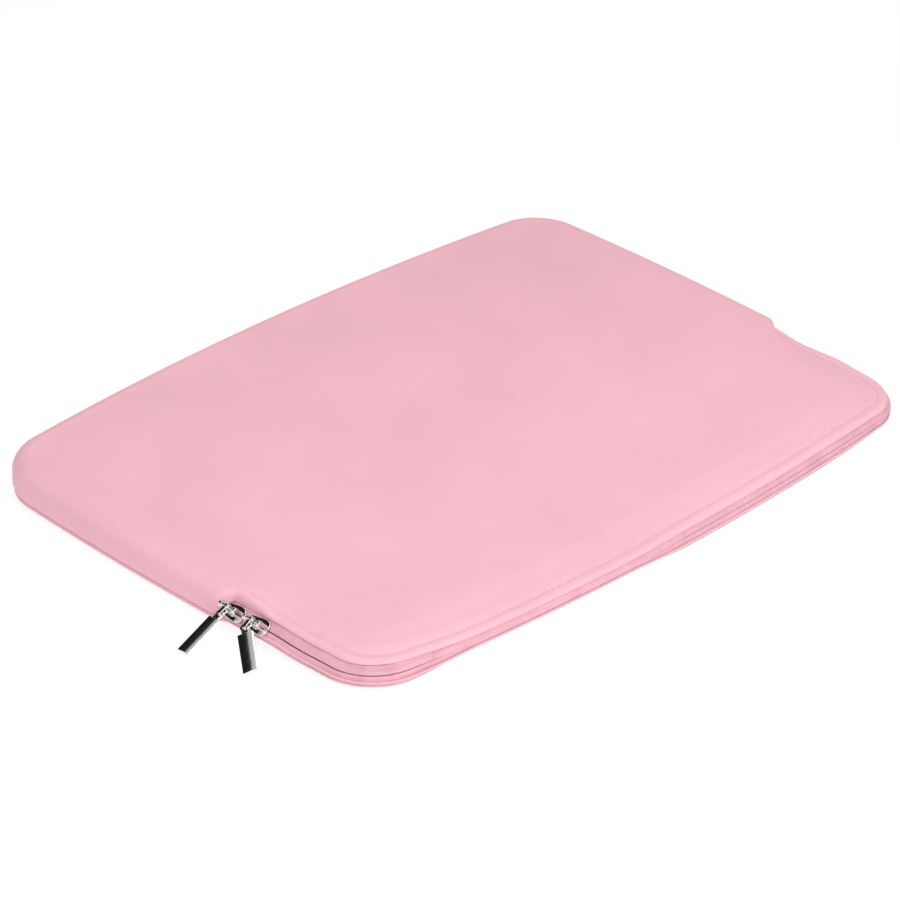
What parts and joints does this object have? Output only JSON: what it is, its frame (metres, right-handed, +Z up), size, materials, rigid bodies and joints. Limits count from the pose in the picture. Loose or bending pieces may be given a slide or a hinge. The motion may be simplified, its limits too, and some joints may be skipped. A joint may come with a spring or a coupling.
{
  "type": "laptop sleeve",
  "caption": "Padded zip-around laptop sleeve with rounded corners, a folding front flap, sliding zip runners and swinging metal pulls.",
  "frame": {"origin": "centre of the bottom face that the sleeve lies on", "axes": "+X along the length, +Y from the zipped front towards the closed spine, +Z up"},
  "size_m": [0.3706, 0.2501, 0.0179],
  "materials": {
    "knit_cover": "fine knit, soft sheen",
    "lining_plush": "short brushed pile",
    "padding_foam": "closed-cell foam",
    "zip_tape": "herringbone twill",
    "zip_coil": "satin",
    "chrome_metal": "polished"
  },
  "bodies": {
    "sleeve": {"bottom_cover": "knit_cover", "bottom_foam": "padding_foam", "bottom_lining": "lining_plush", "zip_tape_lower": "zip_tape", "zip_coil_lower": "zip_coil", "top_cover_rear": "knit_cover", "top_foam_rear": "padding_foam", "top_lining_rear": "lining_plush", "zip_tape_upper_left": "zip_tape", "zip_tape_upper_right": "zip_tape", "zip_coil_upper_left": "zip_coil", "zip_coil_upper_right": "zip_coil", "zip_end_stop_left": "chrome_metal", "zip_end_stop_right": "chrome_metal"},
    "front_flap": {"flap_cover": "knit_cover", "flap_foam": "padding_foam", "flap_lining": "lining_plush", "flap_zip_tape": "zip_tape", "flap_zip_coil": "zip_coil", "flap_binding": "zip_tape"},
    "slider_a": {"slider_a_body": "chrome_metal", "slider_a_crown": "chrome_metal", "slider_a_lock_spring": "chrome_metal"},
    "slider_b": {"slider_b_body": "chrome_metal", "slider_b_crown": "chrome_metal", "slider_b_lock_spring": "chrome_metal"},
    "link_a": {"pull_link_a": "chrome_metal"},
    "link_b": {"pull_link_b": "chrome_metal"},
    "pull_a_plate": {"pull_a": "chrome_metal"},
    "pull_b_plate": {"pull_b": "chrome_metal"}
  },
  "joints": [
    {"name": "flap_fold", "type": "hinge", "parent": "sleeve", "child": "front_flap", "pos_m": [0, -0.066, 0.01387], "axis": [-1, 0, 0], "range_deg": [0, 110]},
    {"name": "slider_a_travel", "type": "slide", "parent": "sleeve", "child": "slider_a", "axis": [0.0241, -0.9997, 0], "range_m": [-0.001, 0.0025]},
    {"name": "slider_b_travel", "type": "slide", "parent": "sleeve", "child": "slider_b", "axis": [0.0407, -0.9992, 0], "range_m": [0, 0.024]},
    {"name": "pull_a_lift", "type": "hinge", "parent": "slider_a", "child": "link_a", "pos_m": [-0.17315, -0.03773, 0.01166], "axis": [-0.0241, 0.9997, 0], "range_deg": [0, 120]},
    {"name": "pull_b_lift", "type": "hinge", "parent": "slider_b", "child": "link_b", "pos_m": [-0.17279, -0.05174, 0.01166], "axis": [-0.0407, 0.9992, 0], "range_deg": [0, 120]},
    {"name": "pull_a_turn", "type": "hinge", "parent": "link_a", "child": "pull_a_plate", "pos_m": [-0.17735, -0.03783, 0.0098], "axis": [-0.4052, -0.0098, 0.9142], "range_deg": [-70, 20]},
    {"name": "pull_b_turn", "type": "hinge", "parent": "link_b", "child": "pull_b_plate", "pos_m": [-0.17679, -0.05191, 0.00939], "axis": [-0.4927, -0.0201, 0.87], "range_deg": [-30, 30]}
  ]
}
